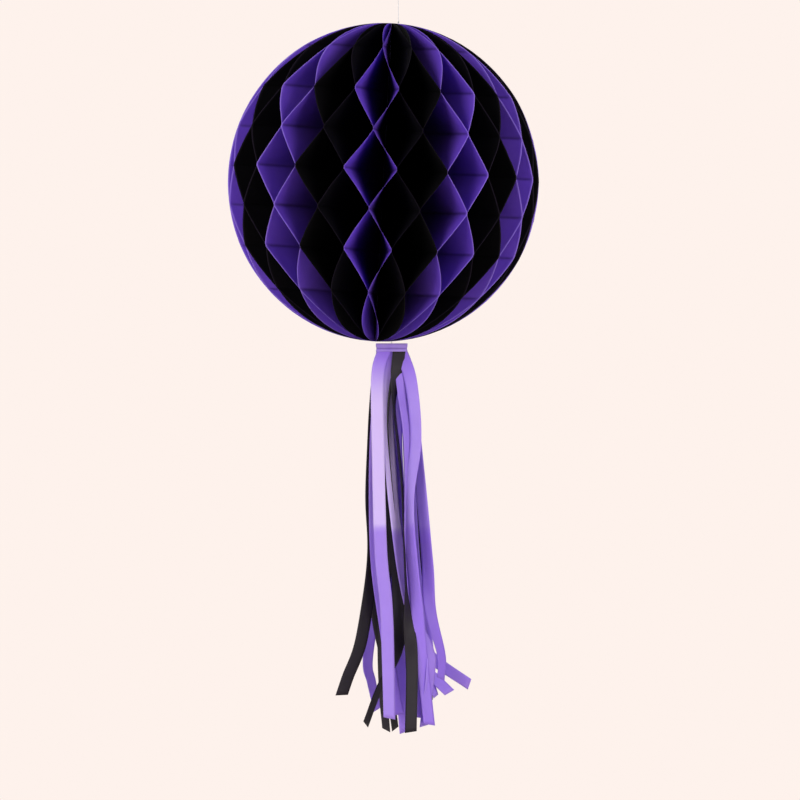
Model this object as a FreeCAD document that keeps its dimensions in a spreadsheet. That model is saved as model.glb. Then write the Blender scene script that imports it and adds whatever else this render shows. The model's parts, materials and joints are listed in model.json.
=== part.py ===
"""Paper honeycomb ball with a tissue tassel, hung on a clear thread. Sizes in millimetres.

The row frame has its origin inside the top of the thread's loop, where a hook bears, and +Z is up.
The ball has a frame of its own: origin at its centre, Z along the spine, and a turn measured from
its front (-Y) towards +X. It leans in the plane of its two cover cards, because it hangs from a
hole punched beside the spine.
"""
import FreeCAD, Part
import math
import os

from FreeCAD import Placement, Rotation, Vector

UP = Vector(0, 0, 1)

doc = FreeCAD.newDocument("honeycomb_ball")
sheet = doc.addObject("Spreadsheet::Sheet", "sizes")

DRIVING_SIZES = [
    # the ball of leaves
    ("ball_width", 281.0, "across the opened leaves"),
    ("ball_height", 288.0, "pole to pole along the spine"),
    ("leaf_count", 38, "half-round tissue leaves"),
    ("tissue", 0.05, "thickness of a leaf"),
    ("glue_gap", 0.08, "room between two leaves at a glue line"),
    ("glue_line", 2.6, "height of a glue line"),
    ("flat_pitch", 42.4, "from one glue line to the next while the stack is flat"),
    ("first_row", 8.4, "middle glue line above the ball's middle"),
    ("outline_step", 6.0, "degrees between outline points"),
    ("spine_radius", 1.0, "stitched and glued spine"),
    ("spine_clear", 0.3, "from the spine to the leaves"),
    ("spine_short", 1.0, "spine ends inside the poles"),
    # the two cover cards
    ("card", 0.25, "thickness of a cover card"),
    ("card_gap", 0.2, "between the two cards, back to back"),
    ("card_clear", 0.25, "from a card to the leaf beside it"),
    ("card_inset", 1.0, "card rim inside the leaves' rim"),
    ("card_edge", 3.5, "card's straight edge from the spine's middle"),
    ("card_turn", 94.4, "degrees from the ball's front to the cards"),
    ("lean", 2.96, "degrees that the spine leans towards the cards"),
    ("tape_width", 12.0, "closing tape, along the card"),
    ("tape_height", 36.0, "closing tape, up the card"),
    ("tape", 0.15, "closing tape's thickness"),
    ("tape_inset", 14.0, "closing tape from the card's rim"),
    ("tape_spread", 100.0, "between the middles of the two tapes"),
    ("hole_radius", 1.2, "punched thread holes"),
    ("top_reach", 6.5, "hanging hole from the spine's middle"),
    ("top_drop", 4.0, "hanging hole below the card's rim"),
    ("tail_reach", 14.8, "tassel hole from the spine's middle"),
    ("tail_drop", 4.5, "tassel hole above the card's rim"),
    # the hanging thread
    ("thread", 0.45, "thread diameter"),
    ("thread_fall", 60.0, "from the hook to the lower knot"),
    ("loop_fall", 26.0, "from the hook to the upper knot"),
    ("loop_radius", 5.0, "bend of the hanging loop"),
    ("knot", 1.2, "radius of a knot"),
    ("knot_clear", 0.1, "between a knot and the thread that turns on it"),
    ("knot_rise", 7.0, "lower knot above the hanging hole"),
    ("leg_clear", 0.06, "from a card to a loop's leg beside it"),
    ("bend_rise", 0.2, "the middle of a loop's bend past the edge of its hole"),
    # the tassel
    ("tassel_clear", 1.5, "from the ball down to the tassel's band"),
    ("band_width", 28.8, "tissue band around the ribbons"),
    ("band_height", 7.5, "height of the band"),
    ("band_wall", 0.2, "wall of the band"),
    ("band_hole", 1.3, "radius of the thread's hole in the band"),
    ("tassel_knot", 1.8, "radius of the knot inside the band"),
    ("ribbon_width", 11.5, "width of a ribbon"),
    ("ribbon", 0.1, "thickness of a ribbon"),
    ("layer", 0.5, "from one ribbon layer to the next, at the fold"),
    ("spread", 4.5, "degrees that the outermost tails lean out, and the others in proportion"),
    ("fold_step", 0.4, "each fold lies this much under the one around it"),
]

for line, (alias, value, meaning) in enumerate(DRIVING_SIZES, start=1):
    sheet.set(f"A{line}", meaning)
    sheet.set(f"B{line}", str(value))
    sheet.setAlias(f"B{line}", alias)
doc.recompute()


def size(alias):
    """The value that the sheet holds under this alias."""
    return float(getattr(sheet, alias))


def tie(piece, **expressions):
    """Bind properties of a piece to the sheet. A double underscore stands for a dot."""
    for name, expression in expressions.items():
        piece.setExpression(name.replace("__", "."), expression)


# Worked out once from the driving sizes

half_width = size("ball_width") / 2
half_height = size("ball_height") / 2
leaf_count = int(size("leaf_count"))
mean_leaf_angle = math.radians(360 / leaf_count)
card_half_width = half_width - size("card_inset")
card_half_height = half_height - size("card_inset")
fan_shift = size("card_gap") / 2 + size("card") + size("card_clear")
thread_radius = size("thread") / 2


def turned(degrees):
    """Rotation in the ball's frame that takes +X to this turn from the ball's front."""
    return Rotation(UP, degrees - 90)


card_turn = turned(size("card_turn"))
card_way = card_turn.multVec(Vector(1, 0, 0))
card_normal = card_turn.multVec(Vector(0, 1, 0))


def rim_height(reach):
    """Height of a card's rim above the ball's middle, this far from the spine."""
    return card_half_height * math.sqrt(1 - (reach / card_half_width) ** 2)


top_hole_height = rim_height(size("top_reach")) - size("top_drop")
tail_hole_height = size("tail_drop") - rim_height(size("tail_reach"))

ball_turn = Rotation(card_normal, size("lean"))
top_hole_offset = ball_turn.multVec(card_way * size("top_reach") + UP * top_hole_height)
tail_hole_offset = ball_turn.multVec(card_way * size("tail_reach") + UP * tail_hole_height)
top_hole = UP * (-size("thread_fall") - size("knot_rise"))
ball_middle = top_hole - top_hole_offset
tail_hole = ball_middle + tail_hole_offset
ball_place = Placement(ball_middle, ball_turn)
card_place = ball_place * Placement(Vector(), card_turn)

tassel_top = ball_middle.z - half_height - size("tassel_clear")
tassel_knot_height = tassel_top - size("band_wall") - size("knot_clear") - size("tassel_knot")
fold_top = tassel_knot_height - size("tassel_knot") - size("knot_clear")


# Leaves: half-round tissue sheets, bowed one way and the other between their glue lines

# How far the fan has opened, as (share of the leaves, degrees from the fixed card). The leaves
# stand closest beside the turning card.
FAN = [(0, 0), (0.5, 191.9), (0.6842, 260.9), (0.7895, 299.2), (0.8947, 332), (1, 360)]


def fan_turn(share):
    """Degrees from the fixed card to the glue lines that lie after this share of the leaves."""
    for (low, low_turn), (high, high_turn) in zip(FAN, FAN[1:]):
        if share <= high:
            return low_turn + (high_turn - low_turn) * (share - low) / (high - low)
    return FAN[-1][1]


def glue_rows():
    """Heights of the glue lines, the last one each way lying past the pole.

    Two neighbouring lines stand closer than in the flat stack, because the leaf between them
    also crosses one cell sideways.
    """
    def next_row(height, way):
        guess = height + way * size("flat_pitch") / 2
        reach = half_width * math.sqrt(max(0, 1 - (guess / half_height) ** 2))
        return height + way * math.sqrt(size("flat_pitch") ** 2 - (reach * mean_leaf_angle) ** 2)

    rows = {0: size("first_row")}
    for way in (1, -1):
        number = 0
        while abs(rows[number]) < half_height:
            rows[number + way] = next_row(rows[number], way)
            number += way
    return rows


def leaf_levels(rows):
    """Heights of a leaf's cross lines: the edges of its glue lines, and the outline between."""
    plateau = size("glue_line") / 2
    edges = [row + side * plateau for row in rows.values() for side in (-1, 1)]
    tip = math.sqrt(1 - (2 * size("outline_step") / half_width) ** 2)
    levels = [level for level in edges if abs(level) < half_height * tip]
    for step in range(int(180 / size("outline_step"))):
        level = half_height * math.cos(math.radians(size("outline_step") * (step + 0.5)))
        if all(abs(level - edge) > plateau for edge in levels):
            levels.append(level)
    return sorted(levels)


def bow(height, rows):
    """How far a leaf is pushed to its side, from -1 to 1: flat on a glue line, straight between."""
    plateau = size("glue_line") / 2
    numbers = sorted(rows)
    for low, high in zip(numbers, numbers[1:]):
        if rows[low] <= height <= rows[high]:
            span = rows[high] - rows[low] - 2 * plateau
            share = min(1, max(0, (height - rows[low] - plateau) / span))
            side = 1 if low % 2 else -1
            return side * (1 - 2 * share)
    return 0


def leaf_solid(side, half_angle):
    """A leaf in its own frame: X away from the spine, Y across it. side flips its bows.

    half_angle is the angle from the leaf's middle plane to its glue lines on either side.
    """
    rows = glue_rows()
    inner = size("spine_radius") + size("spine_clear")
    slope = math.tan(half_angle)
    held_back = (size("tissue") + size("glue_gap")) / 2 / math.cos(half_angle)
    skin = Vector(0, size("tissue") / 2, 0)

    spine_edge = []
    rim_edge = []
    for level in leaf_levels(rows):
        outer = half_width * math.sqrt(1 - (level / half_height) ** 2)
        push = side * bow(level, rows)
        spine_edge.append(Vector(inner, push * (inner * slope - held_back), level))
        rim_edge.append(Vector(outer, push * (outer * slope - held_back), level))

    corners = [spine_edge[0], rim_edge[0]]
    faces = [wall(corners, skin)]
    for number in range(len(spine_edge) - 1):
        low_in, high_in = spine_edge[number:number + 2]
        low_out, high_out = rim_edge[number:number + 2]
        for corners in ([low_in, low_out, high_out], [low_in, high_out, high_in]):
            for offset in (skin, -skin):
                faces.append(flat_face([corner + offset for corner in corners]))
        faces.append(wall([low_in, high_in], skin))
        faces.append(wall([low_out, high_out], skin))
    faces.append(wall([spine_edge[-1], rim_edge[-1]], skin))
    return closed_solid(faces)


def flat_face(corners):
    return Part.Face(Part.makePolygon(corners + corners[:1]))


def wall(ends, skin):
    """The narrow face along an edge of a sheet, from one skin to the other."""
    first, last = ends
    return flat_face([first + skin, last + skin, last - skin, first - skin])


def closed_solid(faces):
    shell = Part.makeShell(faces)
    shell.sewShape()
    solid = Part.makeSolid(shell)
    if solid.Volume < 0:
        solid.reverse()
    return solid


def add_shape(label, shape, place=Placement()):
    piece = doc.addObject("Part::Feature", label)
    piece.Label = label
    piece.Shape = shape
    piece.Placement = place
    return piece


def make_leaves():
    """Every leaf in turn from the fixed card round to the turning card."""
    leaves = []
    for number in range(1, leaf_count + 1):
        before = fan_turn((number - 1) / leaf_count)
        after = fan_turn(number / leaf_count)
        turn = (before + after) / 2
        shift = card_normal * (fan_shift * (1 - 2 * turn / 360))
        place = ball_place * Placement(shift, turned(size("card_turn") + turn))
        side = 1 if number % 2 == 0 else -1
        shape = leaf_solid(side, math.radians(after - before) / 2)
        leaves.append(add_shape(f"leaf_{number:02d}", shape, place))
    return leaves


# The spine, the two cards and the tapes that hold them together

def make_spine():
    spine = doc.addObject("Part::Cylinder", "spine_binding")
    spine.Label = "spine_binding"
    tie(spine, Radius="sizes.spine_radius", Height="sizes.ball_height - 2 * sizes.spine_short")
    start = Vector(0, 0, size("spine_short") - half_height)
    spine.Placement = ball_place * Placement(start, Rotation())
    return spine


def punched_hole(name, reach, height):
    """A cylinder across the cards for one thread hole, in the cards' frame."""
    hole = doc.addObject("Part::Cylinder", name)
    tie(hole, Radius="sizes.hole_radius")
    hole.Height = 4 * fan_shift
    across = Rotation(Vector(1, 0, 0), 90)
    hole.Placement = Placement(Vector(reach, 2 * fan_shift, height), across)
    return hole


def cut_slot(name, reach, height, way):
    """A block across the cards that opens a thread hole to the rim over (1) or under (-1) it."""
    slot = doc.addObject("Part::Box", name)
    tie(slot, Length="2 * sizes.hole_radius", Height="sizes.ball_height / 4")
    slot.Width = 4 * fan_shift
    start = height if way > 0 else height - size("ball_height") / 4
    slot.Placement.Base = Vector(reach - size("hole_radius"), -2 * fan_shift, start)
    return slot


def make_card(label, low_side, slotted):
    """A half-round card with two holes. low_side is an expression for its lower face.

    The fixed card carries both threads. In the turning card the holes are slotted out to the rim,
    so that it swings clear of the threads.
    """
    slab = doc.addObject("Part::Box", label + "_slab")
    tie(slab, Length="sizes.ball_width / 2", Width="sizes.card", Height="sizes.ball_height",
        Placement__Base__x="sizes.card_edge", Placement__Base__y=low_side,
        Placement__Base__z="-sizes.ball_height / 2")
    outline = doc.addObject("Part::Ellipsoid", label + "_outline")
    tie(outline, Radius1="sizes.ball_height / 2 - sizes.card_inset",
        Radius2="sizes.ball_width / 2 - sizes.card_inset",
        Radius3="sizes.ball_width / 2 - sizes.card_inset")
    half_round = doc.addObject("Part::Common", label + "_half_round")
    half_round.Base = slab
    half_round.Tool = outline
    holes = doc.addObject("Part::MultiFuse", label + "_holes")
    holes.Shapes = [
        punched_hole(label + "_top_hole", size("top_reach"), top_hole_height),
        punched_hole(label + "_tail_hole", size("tail_reach"), tail_hole_height),
    ]
    if slotted:
        holes.Shapes += [
            cut_slot(label + "_top_slot", size("top_reach"), top_hole_height, 1),
            cut_slot(label + "_tail_slot", size("tail_reach"), tail_hole_height, -1),
        ]
    card = doc.addObject("Part::Cut", label)
    card.Label = label
    card.Base = half_round
    card.Tool = holes
    card.Placement = card_place
    return card


def make_tapes():
    """Two strips of double-sided tape near the rim, stuck to the fixed card."""
    strips = []
    for way in (1, -1):
        strip = doc.addObject("Part::Box", "tape_upper" if way > 0 else "tape_lower")
        tie(strip, Length="sizes.tape_width", Width="sizes.tape", Height="sizes.tape_height")
        middle = way * size("tape_spread") / 2
        far_end = abs(middle) + size("tape_height") / 2
        reach = card_half_width * math.sqrt(1 - (far_end / card_half_height) ** 2)
        strip.Placement.Base = Vector(
            reach - size("tape_inset") - size("tape_width") / 2,
            size("card_gap") / 2 - size("tape"),
            middle - size("tape_height") / 2)
        strips.append(strip)
    tapes = doc.addObject("Part::Compound", "closing_tapes")
    tapes.Label = "closing_tapes"
    tapes.Links = strips
    tapes.Placement = card_place
    return tapes


# Threads and knots

def thread_along(edges, start, heading):
    """A thread of the sheet's diameter along joined edges."""
    profile = Part.Wire(Part.makeCircle(thread_radius, start, heading))
    return Part.Wire(edges).makePipeShell([profile], True, False)


def make_knot(label, radius, middle):
    knot = doc.addObject("Part::Sphere", label)
    knot.Label = label
    tie(knot, Radius=f"sizes.{radius}")
    knot.Placement.Base = middle
    return knot


def make_hanging_thread():
    """The straight run between the two knots."""
    run = doc.addObject("Part::Cylinder", "hanging_thread")
    run.Label = "hanging_thread"
    tie(run, Radius="sizes.thread / 2",
        Height="sizes.thread_fall - sizes.loop_fall - 2 * (sizes.knot + sizes.knot_clear)",
        Placement__Base__z="sizes.knot + sizes.knot_clear - sizes.thread_fall")
    return run


def make_hang_loop():
    """The loop over the hook: two straight legs that run into one round bend."""
    bend_middle = UP * (thread_radius - size("loop_radius"))
    foot_height = size("knot") + size("knot_clear") - size("loop_fall")
    foot_side = thread_radius * 1.2
    rise = bend_middle.z - foot_height
    leg_angle = math.asin((size("loop_radius") - foot_side) / rise)
    side = Vector(math.cos(leg_angle), 0, -math.sin(leg_angle)) * size("loop_radius")
    right_foot = Vector(foot_side, 0, foot_height)
    right_bend = bend_middle + side
    top = bend_middle + UP * size("loop_radius")
    left_bend = Vector(-right_bend.x, 0, right_bend.z)
    left_foot = Vector(-foot_side, 0, foot_height)
    edges = [
        Part.LineSegment(right_foot, right_bend).toShape(),
        Part.Arc(right_bend, top, left_bend).toShape(),
        Part.LineSegment(left_bend, left_foot).toShape(),
    ]
    return add_shape("hang_loop", thread_along(edges, right_foot, right_bend - right_foot))


def make_hole_loop(label, hole, bend_way, leg_end):
    """A narrow loop through a card hole, one leg each side of the cards.

    bend_way is 1 where the loop's bend lies under its legs and -1 where it lies over them.
    """
    spread = size("card_gap") / 2 + size("card") + size("leg_clear") + thread_radius
    bend_height = hole.z + bend_way * (size("hole_radius") + size("bend_rise"))
    bend_level = UP * bend_height
    bend_edge = bend_height - bend_way * spread
    foot = Vector(hole.x, hole.y, 0)
    sides = (card_normal * spread, card_normal * -spread)
    ends = [foot + side + UP * leg_end for side in sides]
    bends = [foot + side + bend_level for side in sides]
    edges = [
        Part.LineSegment(ends[0], bends[0]).toShape(),
        Part.Arc(bends[0], foot + UP * bend_edge, bends[1]).toShape(),
        Part.LineSegment(bends[1], ends[1]).toShape(),
    ]
    return add_shape(label, thread_along(edges, ends[0], bends[0] - ends[0]))


def make_threads():
    lower_knot = UP * -size("thread_fall")
    tassel_knot_middle = Vector(tail_hole.x, tail_hole.y, tassel_knot_height)
    return [
        make_hang_loop(),
        make_knot("hang_knot", "knot", UP * -size("loop_fall")),
        make_hanging_thread(),
        make_knot("ball_knot", "knot", lower_knot),
        make_hole_loop("ball_loop", top_hole, 1, lower_knot.z - size("knot") / 4),
        make_hole_loop("tassel_loop", tail_hole, -1,
                       tassel_knot_height + size("tassel_knot") / 2),
        make_knot("tassel_knot", "tassel_knot", tassel_knot_middle),
    ]


# The tassel: ribbons folded together over each other, their folds held in a tissue band

# Each ribbon is (front tail, back tail). A tail's points are its middle line in millimetres from
# the middle of the ribbons' top: across, then down.
RIBBON_TAILS = [
    ([(-6, 0), (-12.7, 24), (-12.5, 83), (-9.9, 182), (-5, 232), (-3.2, 282), (-2, 334)],
     [(-6, 0), (-11.5, 47), (-10.8, 137), (-14.5, 218), (-21.7, 282), (-18.5, 302), (-13, 328)]),
    ([(7, 0), (3.1, 33), (2.5, 56), (9, 119), (10.8, 164), (13.6, 228), (18.1, 282), (17.2, 346)],
     [(7, 0), (14.9, 24), (19, 83), (21.7, 173), (27, 246), (32.5, 318)]),
    ([(7, 0), (17.2, 29), (21.7, 83), (14.9, 142), (22.3, 232), (27, 277), (34, 339)],
     [(7, 0), (18, 47), (24.9, 173), (31.6, 264), (38, 281), (70.5, 304)]),
    ([(-3.6, 0), (-3, 69), (2.7, 146), (15.4, 228), (33.4, 271), (35.3, 289), (29, 340)],
     [(-3.6, 0), (1.8, 92), (7.2, 191), (7.2, 255), (15, 281), (34, 294), (52.4, 311)]),
    ([(8, 0), (10, 42), (15.4, 87), (15.4, 173), (20.8, 282), (23.3, 332)],
     [(8, 0), (14.5, 65), (18, 155), (23.5, 228), (31, 283), (40, 314)]),
    ([(-2, 0), (-7.2, 65), (-1.2, 146), (6, 232), (5, 271), (-11.8, 307), (-23.5, 338)],
     [(-2, 0), (-10.8, 65), (-14.5, 155), (-14, 228), (-5.4, 282), (3.2, 343)]),
    ([(-8, 0), (-13.6, 65), (-15.4, 137), (-13, 200), (-5, 256), (2.3, 309), (6.6, 329)],
     [(-8, 0), (-10.8, 65), (-4.5, 146), (-0.7, 210), (-2.7, 264), (-1.8, 318)]),
    ([(-8, 0), (-15.4, 47), (-19, 128), (-17.7, 187), (-27, 259), (-39.8, 295), (-45.2, 311)],
     [(-8, 0), (-9, 65), (-3, 137), (-7.2, 228), (-7.6, 303), (-5, 343)]),
    ([(8, 0), (15.4, 24), (24.9, 110), (32, 187), (34.5, 232), (45, 275), (44.3, 296)],
     [(8, 0), (4, 74), (7, 146), (10.8, 246), (8, 286), (12.6, 344)]),
]


def tail_face(points, width, top):
    """Outline of one flat tail, as wide across its own run as the ribbon."""
    middle = [Vector(across, 0, top - down) for across, down in points]
    left = []
    right = []
    for number, point in enumerate(middle):
        before = middle[max(0, number - 1)]
        after = middle[min(len(middle) - 1, number + 1)]
        run = (after - before).normalize()
        if number == 0:
            run = -UP
        side = Vector(-run.z, 0, run.x) * (width / 2)
        left.append(point - side)
        right.append(point + side)
    return flat_face(left + right[::-1])


def ribbon_solid(number, front_points, back_points):
    """One ribbon in the tassel's frame: two tails in layers of their own, and the fold."""
    ribbon = size("ribbon")
    outermost = len(RIBBON_TAILS) - 0.5
    front = -size("layer") * (outermost - number)
    top = -size("fold_step") * number
    lean_out = size("spread") * (outermost - number) / outermost
    tails = []
    for depth, lean, points in ((front, -lean_out, front_points), (-front, lean_out, back_points)):
        tail = tail_face(points, size("ribbon_width"), top)
        tail.translate(Vector(0, depth - ribbon / 2, 0))
        tail = tail.extrude(Vector(0, ribbon, 0))
        tail.rotate(Vector(0, depth, top - ribbon / 2), Vector(1, 0, 0), lean)
        tails.append(tail)
    corner = Vector(front_points[0][0] - size("ribbon_width") / 2, front - ribbon / 2, top - ribbon)
    fold = Part.makeBox(size("ribbon_width"), -2 * front + ribbon, ribbon, corner)
    return tails[0].fuse([fold, tails[1]]).removeSplitter()


def make_ribbons():
    middle = Vector(tail_hole.x, tail_hole.y, fold_top)
    ribbons = []
    for number, (front_points, back_points) in enumerate(RIBBON_TAILS):
        solid = ribbon_solid(number, front_points, back_points)
        label = f"tassel_ribbon_{number + 1}"
        ribbons.append(add_shape(label, solid, Placement(middle, Rotation())))
    return ribbons


def make_band():
    """The sleeve around the folds: closed on top, with a hole for the thread."""
    depth = "(sizes.band_depth)"
    outer = doc.addObject("Part::Box", "band_outer")
    tie(outer, Length="sizes.band_width", Width="sizes.band_depth", Height="sizes.band_height",
        Placement__Base__x="-sizes.band_width / 2", Placement__Base__y=f"-{depth} / 2",
        Placement__Base__z="-sizes.band_height")
    inner = doc.addObject("Part::Box", "band_inner")
    tie(inner, Length="sizes.band_width - 2 * sizes.band_wall",
        Width="sizes.band_depth - 2 * sizes.band_wall", Height="sizes.band_height",
        Placement__Base__x="sizes.band_wall - sizes.band_width / 2",
        Placement__Base__y=f"sizes.band_wall - {depth} / 2",
        Placement__Base__z="-sizes.band_height - sizes.band_wall")
    hole = doc.addObject("Part::Cylinder", "band_eye")
    tie(hole, Radius="sizes.band_hole", Height="4 * sizes.band_wall",
        Placement__Base__z="-2 * sizes.band_wall")
    cuts = doc.addObject("Part::MultiFuse", "band_cuts")
    cuts.Shapes = [inner, hole]
    band = doc.addObject("Part::Cut", "tassel_band")
    band.Label = "tassel_band"
    band.Base = outer
    band.Tool = cuts
    band.Placement.Base = Vector(tail_hole.x, tail_hole.y, tassel_top)
    return band


band_line = len(DRIVING_SIZES) + 1
sheet.set(f"A{band_line}", "depth of the band: every ribbon layer, its walls and a layer to spare")
sheet.set(f"B{band_line}", f"=layer * {2 * len(RIBBON_TAILS) + 1} + 2 * band_wall")
sheet.setAlias(f"B{band_line}", "band_depth")
doc.recompute()

pieces = make_leaves()
pieces.append(make_spine())
pieces.append(make_card("cover_fixed", "sizes.card_gap / 2", slotted=False))
pieces.append(make_card("cover_turning", "-sizes.card_gap / 2 - sizes.card", slotted=True))
pieces.append(make_tapes())
pieces.extend(make_threads())
pieces.append(make_band())
pieces.extend(make_ribbons())
doc.recompute()

for item in doc.Objects:
    if "Invalid" in item.State or "Error" in item.State:
        raise RuntimeError(f"{item.Name} did not compute: {item.State}")
for piece in pieces:
    if piece.Shape.isNull() or not piece.Shape.isValid() or piece.Shape.Volume <= 0:
        raise RuntimeError(f"{piece.Label} is not a valid solid")

os.makedirs("parts", exist_ok=True)
for piece in pieces:
    piece.Shape.exportStep(os.path.join("parts", piece.Label + ".step"))
print(f"{len(pieces)} pieces; ball middle {ball_middle}, tassel hole {tail_hole}")
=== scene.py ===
import json
import math

import bmesh
import bpy
from mathutils import Matrix, Vector, noise


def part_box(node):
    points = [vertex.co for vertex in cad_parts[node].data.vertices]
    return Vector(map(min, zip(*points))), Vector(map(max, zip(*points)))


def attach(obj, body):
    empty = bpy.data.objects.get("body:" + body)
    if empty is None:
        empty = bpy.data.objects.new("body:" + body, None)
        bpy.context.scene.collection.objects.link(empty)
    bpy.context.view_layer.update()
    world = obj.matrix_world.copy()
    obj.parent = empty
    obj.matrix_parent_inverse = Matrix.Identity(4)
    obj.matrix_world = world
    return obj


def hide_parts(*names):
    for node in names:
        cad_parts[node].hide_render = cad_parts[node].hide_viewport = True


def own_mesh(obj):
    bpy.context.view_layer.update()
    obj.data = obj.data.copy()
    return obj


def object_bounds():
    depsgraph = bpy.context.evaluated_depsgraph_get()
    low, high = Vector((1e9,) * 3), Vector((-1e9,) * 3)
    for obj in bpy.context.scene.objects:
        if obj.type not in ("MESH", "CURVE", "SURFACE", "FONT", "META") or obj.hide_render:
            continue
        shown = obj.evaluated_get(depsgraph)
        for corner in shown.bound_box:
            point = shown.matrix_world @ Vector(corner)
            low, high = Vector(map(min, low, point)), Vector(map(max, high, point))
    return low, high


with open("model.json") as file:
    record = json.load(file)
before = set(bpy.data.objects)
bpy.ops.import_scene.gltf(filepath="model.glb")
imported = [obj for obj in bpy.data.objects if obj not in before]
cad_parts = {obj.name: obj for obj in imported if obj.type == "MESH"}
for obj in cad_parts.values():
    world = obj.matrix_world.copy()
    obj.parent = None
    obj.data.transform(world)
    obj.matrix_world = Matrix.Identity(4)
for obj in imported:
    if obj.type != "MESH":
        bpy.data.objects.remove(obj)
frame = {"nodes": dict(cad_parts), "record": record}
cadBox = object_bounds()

mm = 0.001
scene = bpy.context.scene
joints = {joint["name"]: joint for joint in frame["record"]["behaviour"]["joints"]}
print("frame loaded,", len(frame["nodes"]), "nodes")


def jointPlace(name):
    return Vector(joints[name]["pos_m"])


# The ball's own frame: its middle, the spine, and the way the two cards stand out from it.
ballMiddle = jointPlace("fold")
spineWay = Vector(joints["fold"]["axis"]).normalized()
cardNormal = Vector(joints["ball_rock"]["axis"]).normalized()
cardWay = cardNormal.cross(spineWay)
tasselTop = Vector((*jointPlace("tassel_swing").to_2d(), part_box("tassel_band")[1].z))


def smoothstep(share):
    share = min(1.0, max(0.0, share))
    return share * share * (3 - 2 * share)


# One smooth random value from -1 to 1 that depends on the place and a seed.
def wobble(seed, *where):
    return noise.noise(Vector((*where, 0, 0)[:3]) + Vector((seed * 7.31, seed * 3.17, seed * 5.77)))


# Camera and light

view = dict(distance=9.0, width=0.723, middle=(0.0015, -0.402))


def makeCamera():
    data = bpy.data.cameras.new("camera")
    data.sensor_width = 36
    data.lens = data.sensor_width * view["distance"] / view["width"]
    data.clip_end = 60
    camera = bpy.data.objects.new("camera", data)
    camera.location = (view["middle"][0], -view["distance"], view["middle"][1])
    camera.rotation_euler = (math.pi / 2, 0, 0)
    scene.collection.objects.link(camera)
    scene.camera = camera


def makeLight(name, place, target, width, power, colour):
    data = bpy.data.lights.new(name, "AREA")
    data.shape = "DISK"
    data.size = width
    data.energy = power
    data.color = colour
    light = bpy.data.objects.new(name, data)
    light.location = place
    way = Vector(target) - Vector(place)
    light.rotation_euler = way.to_track_quat("-Z", "Y").to_euler()
    scene.collection.objects.link(light)


# Each light's place, width in metres and power in watts.
studio = dict(ambient=0.28, backdrop=1.0, lightColour=(1.0, 0.985, 0.97), cream=(0.991, 0.887, 0.838),
              floorDrop=0.16, floorRadius=1.2, floorColour=(0.86, 0.81, 0.74), floorRoughness=0.8,
              lights=dict(softboxLeft=((-1.75, -1.75, 0.35), 1.7, 52),
                          softboxRight=((1.75, -1.75, 0.25), 1.7, 48),
                          back=((-0.5, 2.1, 0.9), 1.2, 36)))


def makeStudio():
    for name, (place, width, power) in studio["lights"].items():
        makeLight(name, place, ballMiddle, width, power, studio["lightColour"])
    scene.view_settings.view_transform = "Standard"
    world = bpy.data.worlds.new("studio")
    world.use_nodes = True
    nodes = world.node_tree.nodes
    links = world.node_tree.links
    output = nodes["World Output"]
    soft = nodes["Background"]
    soft.inputs["Color"].default_value = (*studio["lightColour"], 1)
    soft.inputs["Strength"].default_value = studio["ambient"]
    shown = nodes.new("ShaderNodeBackground")
    shown.inputs["Color"].default_value = (*studio["cream"], 1)
    shown.inputs["Strength"].default_value = studio["backdrop"]
    rays = nodes.new("ShaderNodeLightPath")
    mix = nodes.new("ShaderNodeMixShader")
    links.new(rays.outputs["Is Camera Ray"], mix.inputs["Fac"])
    links.new(soft.outputs[0], mix.inputs[1])
    links.new(shown.outputs[0], mix.inputs[2])
    links.new(mix.outputs[0], output.inputs["Surface"])
    scene.world = world
    bm = bmesh.new()
    bmesh.ops.create_circle(bm, cap_ends=True, segments=96, radius=studio["floorRadius"])
    level = cadBox[0].z - studio["floorDrop"]
    bmesh.ops.translate(bm, verts=bm.verts, vec=(ballMiddle.x, ballMiddle.y, level))
    mesh = bpy.data.meshes.new("floor")
    bm.to_mesh(mesh)
    bm.free()
    floor = bpy.data.objects.new("floor", mesh)
    scene.collection.objects.link(floor)
    paint = bpy.data.materials.new("floorPaint")
    paint.use_nodes = True
    shader = paint.node_tree.nodes["Principled BSDF"]
    shader.inputs["Base Color"].default_value = (*studio["floorColour"], 1)
    shader.inputs["Roughness"].default_value = studio["floorRoughness"]
    mesh.materials.append(paint)


makeCamera()
makeStudio()
print("camera and studio ready")


# Node groups and materials

def newGroup(name, inputs, outputs):
    group = bpy.data.node_groups.new(name, "ShaderNodeTree")
    for label, kind, value in inputs:
        socket = group.interface.new_socket(label, in_out="INPUT", socket_type=kind)
        socket.default_value = value
    for label, kind in outputs:
        group.interface.new_socket(label, in_out="OUTPUT", socket_type=kind)
    return group, group.nodes.new("NodeGroupInput"), group.nodes.new("NodeGroupOutput")


def maths(tree, operation, *values):
    node = tree.nodes.new("ShaderNodeMath")
    node.operation = operation
    for number, value in enumerate(values):
        if isinstance(value, (int, float)):
            node.inputs[number].default_value = value
        else:
            tree.links.new(value, node.inputs[number])
    return node.outputs[0]


def noiseOf(tree, vector, scale, detail=3.0, roughness=0.5):
    node = tree.nodes.new("ShaderNodeTexNoise")
    node.inputs["Detail"].default_value = detail
    node.inputs["Roughness"].default_value = roughness
    tree.links.new(vector, node.inputs["Vector"])
    if isinstance(scale, (int, float)):
        node.inputs["Scale"].default_value = scale
    else:
        tree.links.new(scale, node.inputs["Scale"])
    return node.outputs["Fac"]


def stretched(tree, vector, scale):
    node = tree.nodes.new("ShaderNodeMapping")
    node.inputs["Scale"].default_value = scale
    tree.links.new(vector, node.inputs["Vector"])
    return node.outputs["Vector"]


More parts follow.
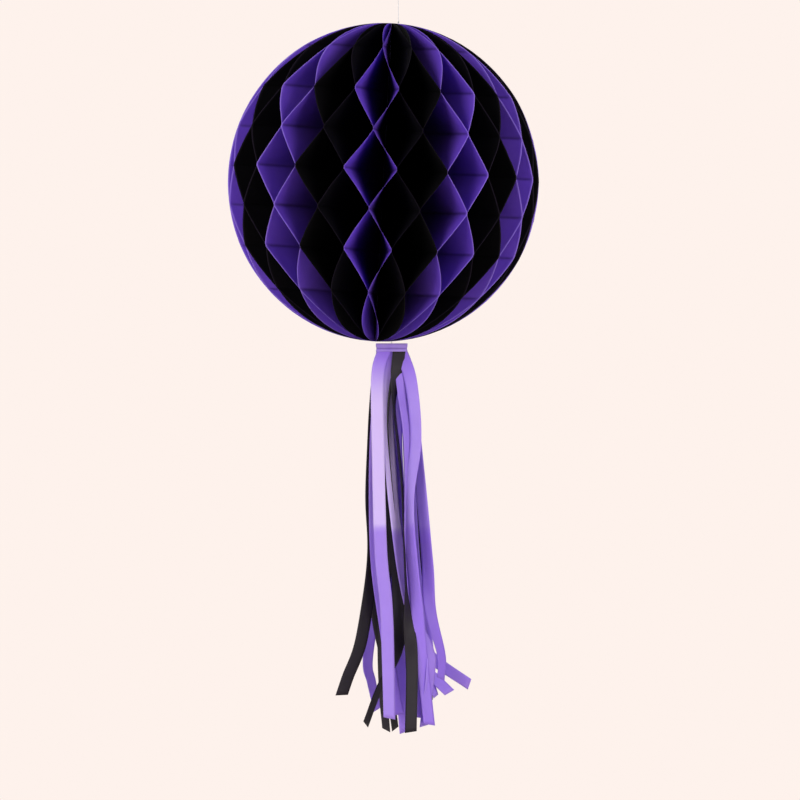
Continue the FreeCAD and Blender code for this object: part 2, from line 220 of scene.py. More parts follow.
def mixColours(tree, share, first, second):
    node = tree.nodes.new("ShaderNodeMix")
    node.data_type = "RGBA"
    for value, label in ((share, "Factor"), (first, "A"), (second, "B")):
        socket = node.inputs[label]
        if isinstance(value, (int, float)):
            socket.default_value = value
        elif isinstance(value, tuple):
            socket.default_value = (*value, 1)
        else:
            tree.links.new(value, socket)
    return node.outputs["Result"]


# Cloudy pulp and fine fibres, as in thin paper: a share to tint with and a height to bump with.
def makeFibreGroup():
    group, source, out = newGroup(
        "paperFibres",
        [("Vector", "NodeSocketVector", (0, 0, 0)), ("Cloud Scale", "NodeSocketFloat", 90),
         ("Fibre Scale", "NodeSocketFloat", 900)],
        [("Cloud", "NodeSocketFloat"), ("Height", "NodeSocketFloat")])
    place = source.outputs["Vector"]
    fine = source.outputs["Fibre Scale"]
    cloud = noiseOf(group, place, source.outputs["Cloud Scale"], 4, 0.6)
    across = noiseOf(group, stretched(group, place, (1, 1, 0.18)), fine)
    along = noiseOf(group, stretched(group, place, (0.2, 0.2, 1)), fine)
    fibres = maths(group, "MULTIPLY", maths(group, "ADD", across, along), 0.5)
    tint = maths(group, "ADD", maths(group, "MULTIPLY", cloud, 0.7),
                 maths(group, "MULTIPLY", fibres, 0.3))
    height = maths(group, "ADD", maths(group, "MULTIPLY", cloud, 0.6), fibres)
    group.links.new(tint, out.inputs["Cloud"])
    group.links.new(height, out.inputs["Height"])
    return group


# Faint sharp-edged crinkles from handling.
def makeCrinkleGroup():
    group, source, out = newGroup(
        "handlingCrinkles",
        [("Vector", "NodeSocketVector", (0, 0, 0)), ("Scale", "NodeSocketFloat", 60)],
        [("Height", "NodeSocketFloat")])
    cells = group.nodes.new("ShaderNodeTexVoronoi")
    cells.feature = "SMOOTH_F1"
    cells.inputs["Smoothness"].default_value = 0.35
    group.links.new(source.outputs["Vector"], cells.inputs["Vector"])
    group.links.new(source.outputs["Scale"], cells.inputs["Scale"])
    soft = noiseOf(group, source.outputs["Vector"], source.outputs["Scale"], 2)
    group.links.new(maths(group, "ADD", cells.outputs["Distance"], soft), out.inputs["Height"])
    return group


fibreGroup = makeFibreGroup()
crinkleGroup = makeCrinkleGroup()


def newMaterial(name):
    material = bpy.data.materials.new(name)
    material.use_nodes = True
    tree = material.node_tree
    place = tree.nodes.new("ShaderNodeTexCoord").outputs["Object"]
    return material, tree, tree.nodes["Principled BSDF"], place


def placeGroup(tree, group, **values):
    node = tree.nodes.new("ShaderNodeGroup")
    node.node_tree = group
    for label, value in values.items():
        socket = node.inputs[label.replace("_", " ")]
        if isinstance(value, (int, float)):
            socket.default_value = value
        else:
            tree.links.new(value, socket)
    return node


def bumped(tree, shader, height, strength, distance):
    bump = tree.nodes.new("ShaderNodeBump")
    bump.inputs["Strength"].default_value = strength
    bump.inputs["Distance"].default_value = distance
    tree.links.new(height, bump.inputs["Height"])
    tree.links.new(bump.outputs["Normal"], shader.inputs["Normal"])
    return bump.outputs["Normal"]


# Lets a share of the light through a thin piece, behind its own finish.
def letThrough(tree, shader, share):
    through = tree.nodes.new("ShaderNodeBsdfTranslucent")
    mix = tree.nodes.new("ShaderNodeMixShader")
    mix.inputs["Fac"].default_value = share
    tree.links.new(shader.outputs[0], mix.inputs[1])
    tree.links.new(through.outputs[0], mix.inputs[2])
    tree.links.new(mix.outputs[0], tree.nodes["Material Output"].inputs["Surface"])
    return through


# How strongly each mask of a sheet shows, and how fine its paper is. The pulp is the paper's own
# cloudiness; the other masks paint light and shade, and the shade share sets how dark the painted shade
# is.
paper = dict(cloudScale=70.0, fibreScale=1100.0, crinkleScale=55.0, pulp=0.9, paintedCellShade=0.85, edge=0.75,
             paintedCreaseShade=0.8, shade=0.3, fibreHeight=0.25, bump=0.3, bumpHeight=0.5 * mm)


# Coloured tissue paper. The body is its colour, thin where less pulp lies, rim a painted highlight along
# a cut edge, and glow what shines through. Three attributes paint light and shade along a leaf's own
# shape: the highlight on the edge, shade deep in the cells and crease shadows on the glue lines.
def makeTissue(name, body, thin, rim, glow, seeThrough, roughness, specular):
    material, tree, shader, place = newMaterial(name)
    fibres = placeGroup(tree, fibreGroup, Vector=place, Cloud_Scale=paper["cloudScale"],
                        Fibre_Scale=paper["fibreScale"])
    crinkles = placeGroup(tree, crinkleGroup, Vector=place, Scale=paper["crinkleScale"])

    def mask(label):
        attribute = tree.nodes.new("ShaderNodeAttribute")
        attribute.attribute_name = label
        return maths(tree, "MULTIPLY", attribute.outputs["Fac"], paper[label])

    pulp = maths(tree, "MULTIPLY", fibres.outputs["Cloud"], paper["pulp"])
    paintedCellShade = mask("paintedCellShade")
    # Painted light: a darker copy of the body stands in for shade deep in the cells and along the
    # creases, and the rim colour is a painted highlight on the cut edge.
    paintedShadeColour = tuple(part * paper["shade"] for part in body)
    colour = mixColours(tree, pulp, body, thin)
    colour = mixColours(tree, paintedCellShade, colour, paintedShadeColour)
    colour = mixColours(tree, mask("edge"), colour, rim)
    colour = mixColours(tree, mask("paintedCreaseShade"), colour, paintedShadeColour)
    tree.links.new(colour, shader.inputs["Base Color"])
    shader.inputs["Roughness"].default_value = roughness
    shader.inputs["Specular IOR Level"].default_value = specular
    height = maths(tree, "MULTIPLY_ADD", fibres.outputs["Height"], paper["fibreHeight"],
                   crinkles.outputs["Height"])
    normal = bumped(tree, shader, height, paper["bump"], paper["bumpHeight"])
    through = letThrough(tree, shader, seeThrough)
    # The light let through is darkened by the same painted shade deep in the cells.
    glowColour = mixColours(tree, paintedCellShade, mixColours(tree, pulp, glow, thin), paintedShadeColour)
    tree.links.new(glowColour, through.inputs["Color"])
    tree.links.new(normal, through.inputs["Normal"])
    return material


def makeBoard():
    material, tree, shader, place = newMaterial("coverBoard")
    fibres = placeGroup(tree, fibreGroup, Vector=place, Cloud_Scale=160.0, Fibre_Scale=1500.0)
    colour = mixColours(tree, fibres.outputs["Cloud"], (0.60, 0.56, 0.49), (0.78, 0.75, 0.69))
    tree.links.new(colour, shader.inputs["Base Color"])
    shader.inputs["Roughness"].default_value = 0.75
    bumped(tree, shader, fibres.outputs["Height"], 0.3, 0.0003)
    return material


def makeBinding():
    material, tree, shader, place = newMaterial("gluedSpine")
    stitch = tree.nodes.new("ShaderNodeTexWave")
    stitch.bands_direction = "Z"
    stitch.inputs["Scale"].default_value = 90
    stitch.inputs["Distortion"].default_value = 2
    tree.links.new(place, stitch.inputs["Vector"])
    fibres = placeGroup(tree, fibreGroup, Vector=place, Cloud_Scale=300.0, Fibre_Scale=1500.0)
    colour = mixColours(tree, stitch.outputs["Fac"], (0.02, 0.012, 0.045), (0.11, 0.05, 0.30))
    tree.links.new(colour, shader.inputs["Base Color"])
    dull = maths(tree, "MULTIPLY_ADD", fibres.outputs["Cloud"], 0.4, 0.35)
    tree.links.new(dull, shader.inputs["Roughness"])
    bumped(tree, shader, stitch.outputs["Fac"], 0.6, 0.0004)
    return material


def makeTape():
    material, tree, shader, place = newMaterial("doubleSidedTape")
    smear = noiseOf(tree, place, 220, 4, 0.6)
    colour = mixColours(tree, smear, (0.72, 0.68, 0.56), (0.88, 0.86, 0.78))
    tree.links.new(colour, shader.inputs["Base Color"])
    tree.links.new(maths(tree, "MULTIPLY_ADD", smear, 0.3, 0.2), shader.inputs["Roughness"])
    bumped(tree, shader, smear, 0.2, 0.0002)
    return material


def makeNylon():
    material, tree, shader, place = newMaterial("clearNylon")
    drawn = noiseOf(tree, stretched(tree, place, (6, 6, 0.4)), 700)
    colour = mixColours(tree, drawn, (0.62, 0.63, 0.66), (0.84, 0.85, 0.88))
    tree.links.new(colour, shader.inputs["Base Color"])
    tree.links.new(maths(tree, "MULTIPLY_ADD", drawn, 0.12, 0.1), shader.inputs["Roughness"])
    shader.inputs["Coat Weight"].default_value = 0.4
    letThrough(tree, shader, 0.4).inputs["Color"].default_value = (0.9, 0.9, 0.92, 1)
    return material


# In each tissue, rim is the colour of a painted highlight, laid along leaf edges, down lit ribbons and
# on the band's pleats.
violet = dict(body=(0.125, 0.046, 0.52), thin=(0.20, 0.085, 0.68), rim=(0.44, 0.28, 0.90),
              glow=(0.22, 0.07, 0.80), seeThrough=0.3, roughness=0.7, specular=0.18)
lavender = dict(body=(0.27, 0.13, 0.70), thin=(0.40, 0.22, 0.86), rim=(0.86, 0.70, 0.97),
                glow=(0.42, 0.22, 0.95), seeThrough=0.34, roughness=0.5, specular=0.35)
ink = dict(body=(0.0012, 0.0010, 0.0016), thin=(0.0030, 0.0024, 0.0038), rim=(0.020, 0.014, 0.026),
           glow=(0.001, 0.001, 0.002), seeThrough=0.04, roughness=0.85, specular=0.05)
inkRibbon = dict(body=(0.008, 0.0055, 0.009), thin=(0.020, 0.014, 0.022), rim=(0.05, 0.04, 0.055),
                 glow=(0.004, 0.002, 0.005), seeThrough=0.06, roughness=0.6, specular=0.25)

violetTissue = makeTissue("violetTissue", **violet)
ribbonTissue = makeTissue("ribbonTissue", **lavender)
blackTissue = makeTissue("blackTissue", **ink)
blackRibbonTissue = makeTissue("blackRibbonTissue", **inkRibbon)
coverBoard = makeBoard()
gluedSpine = makeBinding()
closingTape = makeTape()
clearNylon = makeNylon()
print("materials ready")


def newPiece(name, bm, material):
    mesh = bpy.data.meshes.new(name)
    bm.to_mesh(mesh)
    bm.free()
    mesh.materials.append(material)
    mesh.polygons.foreach_set("use_smooth", [True] * len(mesh.polygons))
    piece = bpy.data.objects.new(name, mesh)
    scene.collection.objects.link(piece)
    return piece


def writeMask(piece, label, values):
    layer = piece.data.attributes.new(label, "FLOAT", "POINT")
    layer.data.foreach_set("value", values)


def thicken(piece, thickness):
    wall = piece.modifiers.new("thickness", "SOLIDIFY")
    wall.thickness = thickness
    wall.offset = 0
    wall.use_even_offset = False


# The thread, its loop and its knots

thread = dict(diameter=0.45 * mm, loopRadius=5 * mm, upperKnot=-26 * mm, lowerKnot=-60 * mm,
              knotGap=1.3 * mm, knotRadius=1.2 * mm, knotPoints=36, footOut=0.27 * mm,
              shoulderDrop=0.61 * mm, archCorners=4)


def makeCurve(name, points, radius, closed=False):
    data = bpy.data.curves.new(name, "CURVE")
    data.dimensions = "3D"
    data.bevel_depth = radius
    data.bevel_resolution = 3
    data.resolution_u = 12
    data.use_fill_caps = not closed
    spline = data.splines.new("NURBS")
    spline.points.add(len(points) - 1)
    for point, place in zip(spline.points, points):
        point.co = (*place, 1)
    spline.order_u = 3
    spline.use_endpoint_u = not closed
    spline.use_cyclic_u = closed
    data.materials.append(clearNylon)
    piece = bpy.data.objects.new(name, data)
    scene.collection.objects.link(piece)
    return piece


# The same piece with its curve turned into a mesh.
def asMesh(piece):
    finished = piece.evaluated_get(bpy.context.evaluated_depsgraph_get())
    mesh = bpy.data.meshes.new_from_object(finished)
    name = piece.name
    data = piece.data
    bpy.data.objects.remove(piece)
    bpy.data.curves.remove(data)
    mesh.name = name
    mesh.polygons.foreach_set("use_smooth", [True] * len(mesh.polygons))
    solid = bpy.data.objects.new(name, mesh)
    scene.collection.objects.link(solid)
    return solid


# A drawn-down overhand knot: a tight three-lobed tangle of the same thread.
def makeKnot(name, level, turn):
    strand = thread["diameter"] / 2
    reach = (thread["knotRadius"] - strand) / 3
    points = []
    for step in range(thread["knotPoints"]):
        angle = math.tau * step / thread["knotPoints"]
        points.append(Vector((
            math.sin(angle) + 2 * math.sin(2 * angle),
            1.15 * math.sin(3 * angle),
            math.cos(angle) - 2 * math.cos(2 * angle))) * reach)
    place = Matrix.Translation((0, 0, level)) @ Matrix.Rotation(turn, 4, "Z")
    knot = makeCurve(name, [place @ point for point in points], strand * 1.1, closed=True)
    return asMesh(knot)


def makeThreads():
    radius = thread["loopRadius"]
    bend = Vector((0, 0, thread["diameter"] / 2 - radius))
    foot = Vector((thread["footOut"], 0, thread["upperKnot"] + thread["knotGap"]))
    corners = thread["archCorners"]
    corner = radius / math.cos(math.pi / corners / 2)
    arch = [bend + Vector((math.cos(angle), 0, math.sin(angle))) * corner
            for angle in (math.pi * (step + 0.5) / corners for step in range(corners))]
    shoulder = bend + Vector((radius, 0, -thread["shoulderDrop"]))
    leg = shoulder.lerp(foot, 0.17)
    right = [foot, leg, shoulder]
    left = [Vector((-point.x, 0, point.z)) for point in reversed(right)]
    loop = makeCurve("hangLoop", right + arch + left, thread["diameter"] / 2)
    top = thread["upperKnot"] - thread["knotGap"]
    bottom = thread["lowerKnot"] + thread["knotGap"]
    run = [Vector((0, 0, bottom + (top - bottom) * share)) for share in (0, 0.33, 0.67, 1)]
    line = makeCurve("hangingThread", run, thread["diameter"] / 2)
    upper = makeKnot("upperKnot", thread["upperKnot"], 0.3)
    lower = makeKnot("lowerKnot", thread["lowerKnot"], 1.1)
    for piece, body, node in ((loop, "hanger", "hang_loop"), (line, "thread", "hanging_thread"),
                              (upper, "upper_knot", "hang_knot"), (lower, "tie", "ball_knot")):
        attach(piece, body)
        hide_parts(node)


makeThreads()
print("thread, loop and knots ready")


# The leaves

# The fan pairs a number of leaves with degrees from the fixed card. The columns are shares of the
# way in from the rim, and the crossLines shares of the way from one glue line to the next.
# Some of these sizes only place painted light: the highlight band along the cut edge, the span over
# which the cells shade in, and the crease shadows' reach.
leaf = dict(count=38, reach=140.5 * mm, halfHeight=144 * mm, inner=1.3 * mm, poleInner=0.5 * mm,
            poleInnerFrom=142.5 * mm, flatPitch=42.4 * mm, firstRow=8.4 * mm, glueLine=2.6 * mm,
            heldBack=0.065 * mm, fanShift=0.6 * mm, tissue=0.05 * mm, softness=0.06, flutter=0.07,
            ragged=0.25 * mm, paintedHighlightBand=1.6 * mm, cellShadeFrom=6 * mm, cellShadeTo=62 * mm, creaseShadeFrom=5 * mm,
            creaseShadeSpread=1.3, poleGap=1.1, poleLines=8, poleStep=2.2, closestLines=0.35 * mm, closed=0.035,
            fan=((0, 0), (19, 191.9), (26, 260.9), (30, 299.2), (34, 332), (38, 360)),
            columns=(0, 0.012, 0.028, 0.05, 0.08, 0.12, 0.17, 0.23, 0.30, 0.38, 0.47, 0.57,
                     0.67, 0.77, 0.86, 0.94, 1),
            crossLines=(0.025, 0.07, 0.15, 0.26, 0.38, 0.5, 0.62, 0.74, 0.85, 0.93, 0.975))
meanAngle = math.tau / leaf["count"]


# Heights of the glue lines by number, the last one each way lying past the pole.
def glueRows():
    rows = {0: leaf["firstRow"]}
    for way in (1, -1):
        number = 0
        while abs(rows[number]) < leaf["halfHeight"]:
            guess = rows[number] + way * leaf["flatPitch"] / 2
            reach = leaf["reach"] * math.sqrt(max(0, 1 - (guess / leaf["halfHeight"]) ** 2))
            pitch = math.sqrt(leaf["flatPitch"] ** 2 - (reach * meanAngle) ** 2)
            rows[number + way] = rows[number] + way * pitch
            number += way
    return rows


rows = glueRows()


# Heights of the leaf's cross lines, close together beside a crease and wide apart between.
def leafLevels():
    half = leaf["glueLine"] / 2
    highest = leaf["halfHeight"] * math.cos(math.radians(leaf["poleGap"]))
    levels = {-highest, highest}
    numbers = sorted(rows)
    for number in numbers:
        levels.update((rows[number] - half, rows[number], rows[number] + half))
    for low, high in zip(numbers, numbers[1:]):
        start, end = rows[low] + half, rows[high] - half
        for share in leaf["crossLines"]:
            levels.add(start + (end - start) * share)
    for step in range(1, leaf["poleLines"] + 1):  # finer towards the poles, where the outline turns in
        level = leaf["halfHeight"] * math.cos(math.radians(leaf["poleGap"] + step * leaf["poleStep"]))
        levels.update((level, -level))
    kept = []
    for level in sorted(levels):
        if abs(level) <= highest and (not kept or level - kept[-1] > leaf["closestLines"]):
            kept.append(level)
    kept[-1] = highest
    return kept


# How far a leaf is pushed to its side, from -1 to 1, and a painted crease shadow mask that is 1 on a
# glue line.
def bowAt(height):
    half = leaf["glueLine"] / 2
    numbers = sorted(rows)
    for low, high in zip(numbers, numbers[1:]):
        if rows[low] <= height <= rows[high]:
            span = rows[high] - rows[low] - 2 * half
            share = min(1, max(0, (height - rows[low] - half) / span))
            share += (smoothstep(share) - share) * leaf["softness"]
            bow = (1 if low % 2 else -1) * (1 - 2 * share)
            fromLine = min(abs(height - rows[low]), abs(height - rows[high]))
            return bow, max(0.0, 1 - fromLine / (half * leaf["creaseShadeSpread"]))
    return 0, 0


# Degrees from the fixed card to the glue lines that lie after this many leaves.
def fanTurn(leaves):
    for (low, lowTurn), (high, highTurn) in zip(leaf["fan"], leaf["fan"][1:]):
        if leaves <= high:
            return lowTurn + (highTurn - lowTurn) * (leaves - low) / (high - low)


# A leaf's place: X out from the spine, Y round it, Z up the spine.
def leafFrame(turn):
    share = turn / 360
    angle = math.radians(turn)
    out = cardWay * math.cos(angle) + cardNormal * math.sin(angle)
    along = cardNormal * math.cos(angle) - cardWay * math.sin(angle)
    start = ballMiddle + cardNormal * leaf["fanShift"] * (1 - 2 * share)
    place = Matrix((out, along, spineWay)).transposed().to_4x4()
    place.translation = start
    return place


def makeLeaf(number):
    before = fanTurn(number - 1)
    after = fanTurn(number)
    place = leafFrame((before + after) / 2)
    slope = math.tan(math.radians(after - before) / 2)
    side = 1 if number % 2 == 0 else -1
    levels = leafLevels()
    columns = leaf["columns"]
    bm = bmesh.new()
    bmesh.ops.create_grid(bm, x_segments=len(columns) - 1, y_segments=len(levels) - 1, size=0.5)
    masks = {"edge": [], "paintedCellShade": [], "paintedCreaseShade": []}
    cellShadeSpan = leaf["cellShadeTo"] - leaf["cellShadeFrom"]
    for vert in bm.verts:
        inward = columns[round((0.5 - vert.co.x) * (len(columns) - 1))]
        level = levels[round((vert.co.y + 0.5) * (len(levels) - 1))]
        bow, paintedCreaseShade = bowAt(level)
        rim = leaf["reach"] * math.sqrt(1 - (level / leaf["halfHeight"]) ** 2)
        rim -= leaf["ragged"] * (0.5 + 0.5 * wobble(number, level * 300))
        inner = min(leaf["inner"] if abs(level) < leaf["poleInnerFrom"] else leaf["poleInner"], rim / 2)
        reach = rim + (inner - rim) * inward
        room = reach * slope - leaf["heldBack"]
        loose = (1 - bow * bow) * leaf["flutter"]
        push = side * bow + loose * (wobble(number + 50, reach * 18, level * 26)
                                     + 0.5 * wobble(number + 90, reach * 50, level * 70))
        vert.co = place @ Vector((reach, push * room, level))
        depth = rim - reach
        # Painted highlight along the cut edge, fading out within a narrow band inside it.
        masks["edge"].append(max(0.0, 1 - depth / leaf["paintedHighlightBand"]))
        # Painted shade, darker the deeper inside the cell.
        masks["paintedCellShade"].append(smoothstep((depth - leaf["cellShadeFrom"]) / cellShadeSpan))
        # Painted crease shadow along each glue line, fading out towards the rim.
        masks["paintedCreaseShade"].append(paintedCreaseShade * smoothstep(depth / leaf["creaseShadeFrom"]))
    purple = number % 4 in (2, 3)
    piece = newPiece(f"tissueLeaf{number:02d}", bm, violetTissue if purple else blackTissue)
    for label, values in masks.items():
        writeMask(piece, label, values)
    thicken(piece, leaf["tissue"])
    body = f"leaf_{number:02d}"
    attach(piece, body)
    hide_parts(body)
    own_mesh(piece)


for number in range(1, leaf["count"] + 1):
    makeLeaf(number)
print("leaves ready")


# The tassel

# Spread and twist are in degrees. The endTurn and midTurn spans are shares of a tail's length.
tassel = dict(width=11.5 * mm, tissue=0.07 * mm, layer=0.5 * mm, foldStep=0.4 * mm, spread=4.5, twist=9,
              columns=6, step=4 * mm, foldSpacing=1 * mm, smoothSteps=24, cup=0.35 * mm, cupChange=2.2,
              creases=(57 * mm, 163 * mm), creaseReach=14 * mm, creaseDepth=0.9 * mm,
              creaseRoom=1.2 * mm, endTurn=(0.55, 1), midTurn=(0.6, 0.85), cutSpan=(0.97, 1),
              foldPale=0.2)
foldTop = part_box("tassel_ribbon_1")[1].z

# Each ribbon: the points of its front and back tail, across and down from the middle of the fold in
# millimetres, how far each tail's end is turned about its run in degrees, how slanted it is cut, and
# for its front tail how far it is turned half way down and how strongly a painted highlight pales it.
ribbons = [
    ([(-6, 0), (-12.7, 24), (-12.5, 83), (-9.9, 182), (-5, 232), (-3.2, 282), (-2, 334)],
     [(-6, 0), (-11.5, 47), (-10.8, 137), (-14.5, 218), (-21.7, 282), (-18.5, 302), (-13, 328)],
     18, 50, 2.5, 0, 1),
    ([(7, 0), (3.1, 33), (2.5, 56), (9, 119), (10.8, 164), (13.6, 228), (18.1, 282), (17.2, 346)],
     [(7, 0), (14.9, 24), (19, 83), (21.7, 173), (27, 246), (32.5, 318)],
     -25, 35, -2, 80, 0),
    ([(7, 0), (17.2, 29), (21.7, 83), (14.9, 142), (22.3, 232), (27, 277), (34, 339)],
     [(7, 0), (18, 47), (24.9, 173), (31.6, 264), (38, 281), (70.5, 304)],
     30, -35, 3, -25, 0.3),
    ([(-3.6, 0), (-3, 69), (2.7, 146), (15.4, 228), (33.4, 271), (35.3, 289), (29, 340)],
     [(-3.6, 0), (1.8, 92), (7.2, 191), (7.2, 255), (15, 281), (34, 294), (52.4, 311)],
     55, 30, -3, 30, 0.85),
    ([(8, 0), (10, 42), (15.4, 87), (15.4, 173), (20.8, 282), (23.3, 332)],
     [(8, 0), (14.5, 65), (18, 155), (23.5, 228), (31, 283), (40, 314)],
     -20, 60, 2, 45, 0.15),
    ([(-2, 0), (-7.2, 65), (-1.2, 146), (6, 232), (5, 271), (-11.8, 307), (-23.5, 338)],
     [(-2, 0), (-10.8, 65), (-14.5, 155), (-14, 228), (-5.4, 282), (3.2, 343)],
     60, -55, 4, -40, 0),
    ([(-8, 0), (-13.6, 65), (-15.4, 137), (-13, 200), (-5, 256), (2.3, 309), (6.6, 329)],
     [(-8, 0), (-10.8, 65), (-4.5, 146), (-0.7, 210), (-2.7, 264), (-1.8, 318)],
     30, 25, 2, 20, 0.2),
    ([(-8, 0), (-15.4, 47), (-19, 128), (-17.7, 187), (-27, 259), (-39.8, 295), (-45.2, 311)],
     [(-8, 0), (-9, 65), (-3, 137), (-7.2, 228), (-7.6, 303), (-5, 343)],
     25, -50, -4, 35, 0),
    ([(8, 0), (15.4, 24), (24.9, 110), (32, 187), (34.5, 232), (45, 275), (44.3, 296)],
     [(8, 0), (4, 74), (7, 146), (10.8, 246), (8, 286), (12.6, 344)],
     55, 20, 3, -30, 0.25),
]
blackRibbons = (2, 6, 8)


# Even steps along a smooth line through the points: (across, down) and the way it runs.
def alongTail(points, spacing):
    stops = [Vector(point) * mm for point in points]
    stops = [2 * stops[0] - stops[1]] + stops + [2 * stops[-1] - stops[-2]]
    dense = []
    for before, start, end, after in zip(stops, stops[1:], stops[2:], stops[3:]):
        for step in range(tassel["smoothSteps"]):
            share = step / tassel["smoothSteps"]
            dense.append(0.5 * (2 * start + (end - before) * share
                                + (2 * before - 5 * start + 4 * end - after) * share ** 2
                                + (3 * start - before - 3 * end + after) * share ** 3))
    dense.append(stops[-2])
    length = sum((b - a).length for a, b in zip(dense, dense[1:]))
    count = round(length / spacing)
    stations = []
    walked, reached = 0.0, 0
    for step in range(count + 1):
        target = length * step / count
        run = dense[reached + 1] - dense[reached]
        while reached < len(dense) - 2 and walked + run.length < target:
            walked += run.length
            reached += 1
            run = dense[reached + 1] - dense[reached]
        place = dense[reached] + run * min(1, (target - walked) / run.length)
        stations.append((place, run.normalized()))
    return stations, length


# How far a share has come through a span, from 0 to 1.
def comeThrough(share, span):
    return smoothstep((share - span[0]) / (span[1] - span[0]))


# Cross lines of one tail from the fold down, each a list of places across the ribbon.
def tailLines(points, depth, lean, turn, slant, midTurn, seed):
    stations, length = alongTail(points, tassel["step"])
    slope = math.tan(math.radians(lean))
    lines = []
    for number, (place, run) in enumerate(stations):
        share = number / (len(stations) - 1)
        down = place.y
        room = abs(slope) * down / (len(ribbons) - 1) + tassel["layer"]
        sway = wobble(seed, down * 22) * room * 0.8 * smoothstep(share * 6)
        for crease in tassel["creases"]:
            near = max(0, 1 - abs(down - crease) / tassel["creaseReach"])
            sway -= near * tassel["creaseDepth"] * min(1, room / tassel["creaseRoom"])
        angle = math.radians(turn) * comeThrough(share, tassel["endTurn"])
        untwisted = comeThrough(share, tassel["midTurn"])
        angle += math.radians(midTurn) * smoothstep(share * 6) * (1 - untwisted)
        angle += math.radians(tassel["twist"]) * wobble(seed + 31, down * 17) * smoothstep(share * 5)
        across = Vector((run.y, 0, run.x))
        out = Vector((0, 1, 0))
        middle = Vector((place.x, depth + slope * down + sway, -down))
        line = []
        for column in range(tassel["columns"] + 1):
            offset = column / tassel["columns"] - 0.5
            curl = (0.25 - offset * offset) * tassel["cup"] * smoothstep(share * 4)
            curl *= 1 + tassel["cupChange"] * wobble(seed + 77, down * 12)
            cut = slant * mm * offset * comeThrough(share, tassel["cutSpan"])
            line.append(middle + across * (offset * tassel["width"] * math.cos(angle))
                        + out * (offset * tassel["width"] * math.sin(angle) + curl)
                        - Vector((-run.x, 0, run.y)) * cut)
        lines.append(line)
    return lines, length


def makeRibbon(number, front, back, frontTurn, backTurn, slant, midTurn, paintedHighlight):
    outermost = len(ribbons) - 0.5
    layer = outermost - (number - 1)
    depth = tassel["layer"] * layer
    lean = tassel["spread"] * layer / outermost
    top = Vector((tasselTop.x, tasselTop.y, foldTop - tassel["foldStep"] * (number - 1)))
    frontLines, frontLength = tailLines(front, -depth, -lean, frontTurn, slant, midTurn, number)
    backLines, backLength = tailLines(back, depth, lean, backTurn, -slant, -midTurn / 2, number + 20)
    lines = frontLines[::-1]
    overTheFold = max(2, round(2 * depth / tassel["foldSpacing"]))
    for step in range(1, overTheFold):
        share = step / overTheFold
        lines.append([a.lerp(b, share) for a, b in zip(frontLines[0], backLines[0])])
    lines += backLines
    bm = bmesh.new()
    bmesh.ops.create_grid(bm, x_segments=tassel["columns"], y_segments=len(lines) - 1, size=0.5)
    paleness = []
    for vert in bm.verts:
        column = round((vert.co.x + 0.5) * tassel["columns"])
        line = round((vert.co.y + 0.5) * (len(lines) - 1))
        vert.co = top + lines[line][column]
        # Painted highlight on the front tail: it rises over the first part below the fold and drops off
        # at the lower packing crease. The fold and the back tail get a steady paler tone.
        fromFold = len(frontLines) - 1 - line
        share = fromFold * tassel["step"] / tassel["creases"][1]
        fade = smoothstep(share * 3) * (1 - 0.75 * smoothstep((share - 0.98) / 0.04))
        paleness.append(paintedHighlight * fade if fromFold >= 0 else tassel["foldPale"])
    black = number in blackRibbons
    piece = newPiece(f"tasselRibbon{number}", bm, blackRibbonTissue if black else ribbonTissue)
    writeMask(piece, "edge", paleness)
    thicken(piece, tassel["tissue"])
    node = f"tassel_ribbon_{number}"
    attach(piece, "tassel")
    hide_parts(node)


for number, ribbon in enumerate(ribbons, start=1):
    makeRibbon(number, *ribbon)
print("ribbons ready")


# The tie, its span and the span of the painted shade along the tie are shares of the band's height.
band = dict(wall=0.16 * mm, topCuts=15, rings=10, gathers=3, pleat=0.28 * mm, pinch=0.55 * mm,
            furthestIn=0.8 * mm, steadyTop=4 * mm, tie=0.62, tieSpan=0.28, paintedCreaseShade=0.9, creaseShadeSpan=0.1)


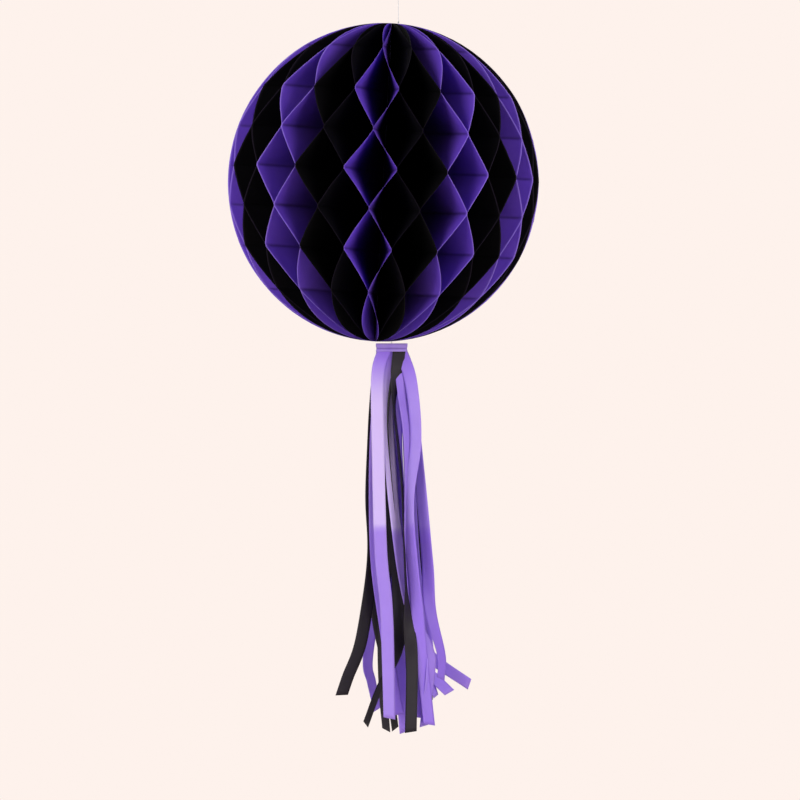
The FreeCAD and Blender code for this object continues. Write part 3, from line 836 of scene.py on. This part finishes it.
# A tissue strip wrapped round the folds, closed over them, pleated and drawn in at its tie.
def makeBand():
    low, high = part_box("tassel_band")
    middle = (low + high) / 2
    size = high - low
    bm = bmesh.new()
    bmesh.ops.create_grid(bm, x_segments=1, y_segments=1, size=0.5)
    bmesh.ops.scale(bm, vec=(size.x - band["wall"], size.y - band["wall"], 1), verts=bm.verts)
    bmesh.ops.translate(bm, vec=(middle.x, middle.y, high.z - band["wall"] / 2), verts=bm.verts)
    bmesh.ops.subdivide_edges(bm, edges=bm.edges[:], cuts=band["topCuts"], use_grid_fill=True)
    rim = [edge for edge in bm.edges if edge.is_boundary]
    skirt = bmesh.ops.extrude_edge_only(bm, edges=rim)["geom"]
    bmesh.ops.translate(bm, vec=(0, 0, -size.z + band["wall"]),
                        verts=[item for item in skirt if isinstance(item, bmesh.types.BMVert)])
    walls = [edge for edge in bm.edges if abs(edge.verts[0].co.z - edge.verts[1].co.z) > size.z / 2]
    bmesh.ops.subdivide_edges(bm, edges=walls, cuts=band["rings"])
    steadyToneAndPaintedLight = []
    for vert in bm.verts:
        down = (high.z - vert.co.z) / size.z
        way = Vector((vert.co.x - middle.x, vert.co.y - middle.y, 0))
        angle = math.atan2(way.y / size.y, way.x / size.x)
        drawn = max(0.0, 1 - abs(down - band["tie"]) / band["tieSpan"])
        pleat = 0.5 + 0.5 * wobble(5, angle * band["gathers"], down * 0.6)
        inward = band["pinch"] * drawn + band["pleat"] * pleat
        inward *= smoothstep(way.length / band["steadyTop"])
        vert.co -= way.normalized() * min(inward, band["furthestIn"])
        # Painted light on the band: paler on the pleats' outer crests and darker where the tie draws it
        # in, over a steady paler tone.
        steadyToneAndPaintedLight.append(0.15 + 0.35 * (1 - pleat) - 0.15 * drawn)
    piece = newPiece("tasselBand", bm, ribbonTissue)
    writeMask(piece, "edge", steadyToneAndPaintedLight)
    # Painted shade along the tie, where the band is drawn in.
    downs = [(high.z - vert.co.z) / size.z for vert in piece.data.vertices]
    writeMask(piece, "paintedCreaseShade", [band["paintedCreaseShade"] * max(0.0, 1 - abs(down - band["tie"]) / band["creaseShadeSpan"])
                              for down in downs])
    thicken(piece, band["wall"])
    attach(piece, "tassel")
    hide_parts("tassel_band")


makeBand()


# The carried-over nodes keep their shapes and take the same finishes.
def dressCadNodes():
    finishes = dict(cover_fixed=coverBoard, cover_turning=coverBoard, spine_binding=gluedSpine,
                    closing_tapes=closingTape, ball_loop=clearNylon, tassel_loop=clearNylon,
                    tassel_knot=clearNylon)
    for name, material in finishes.items():
        for slot in frame["nodes"][name].material_slots:
            slot.material = material


dressCadNodes()
print("tassel and finishes ready")
